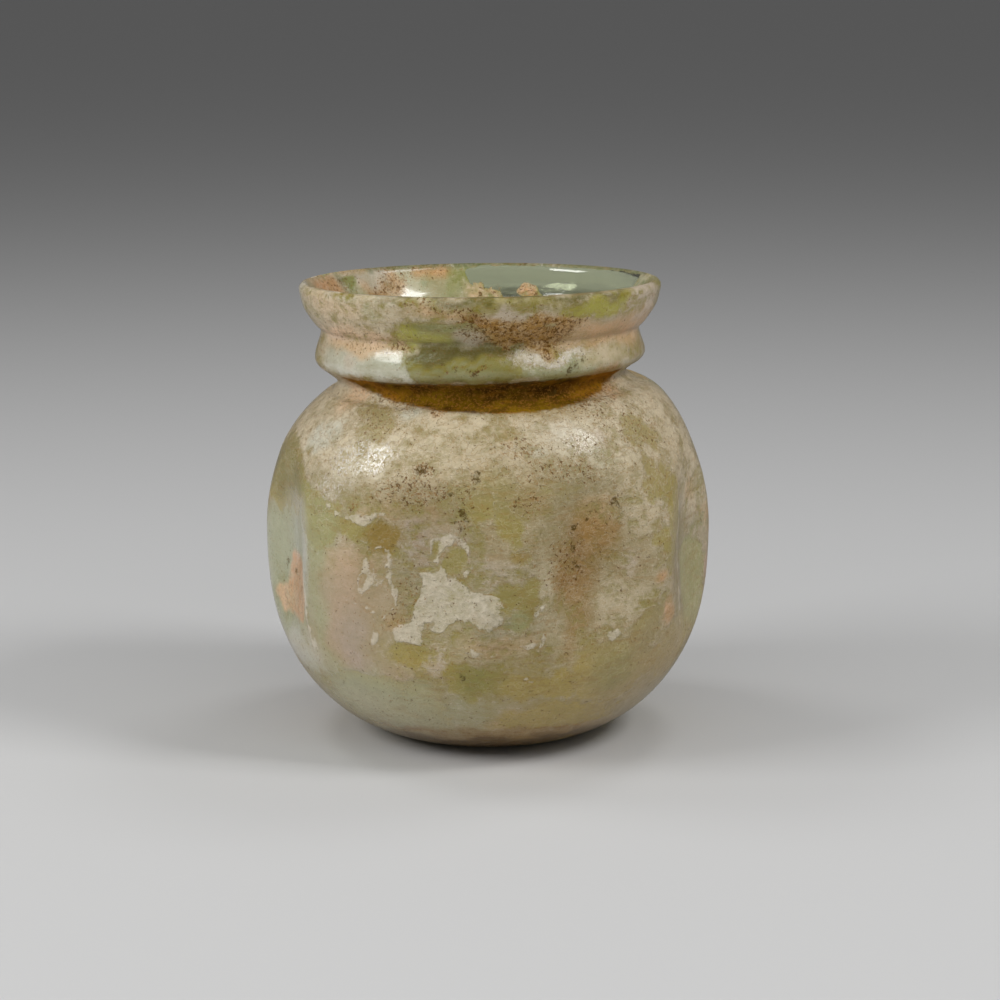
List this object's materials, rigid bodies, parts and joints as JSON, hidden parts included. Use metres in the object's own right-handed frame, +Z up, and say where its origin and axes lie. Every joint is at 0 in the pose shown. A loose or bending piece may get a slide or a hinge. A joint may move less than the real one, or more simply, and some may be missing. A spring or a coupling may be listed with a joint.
{
  "type": "ancient glass jar",
  "caption": "Blown glass jar with a round dented body, short neck, folded collar and flaring mouth, weathered all over.",
  "frame": {"origin": "centre of the underside, on the axis of the body, at the level of the ring that the jar stands on", "axes": "+Z up along the body's axis, -Y towards the side seen from the front, +X to its right"},
  "size_m": [0.0744, 0.0743, 0.0765],
  "materials": {
    "jar_glass": "weathered translucent glass with a crust of buried age"
  },
  "bodies": {
    "root": {"jar": "jar_glass"}
  },
  "joints": []
}
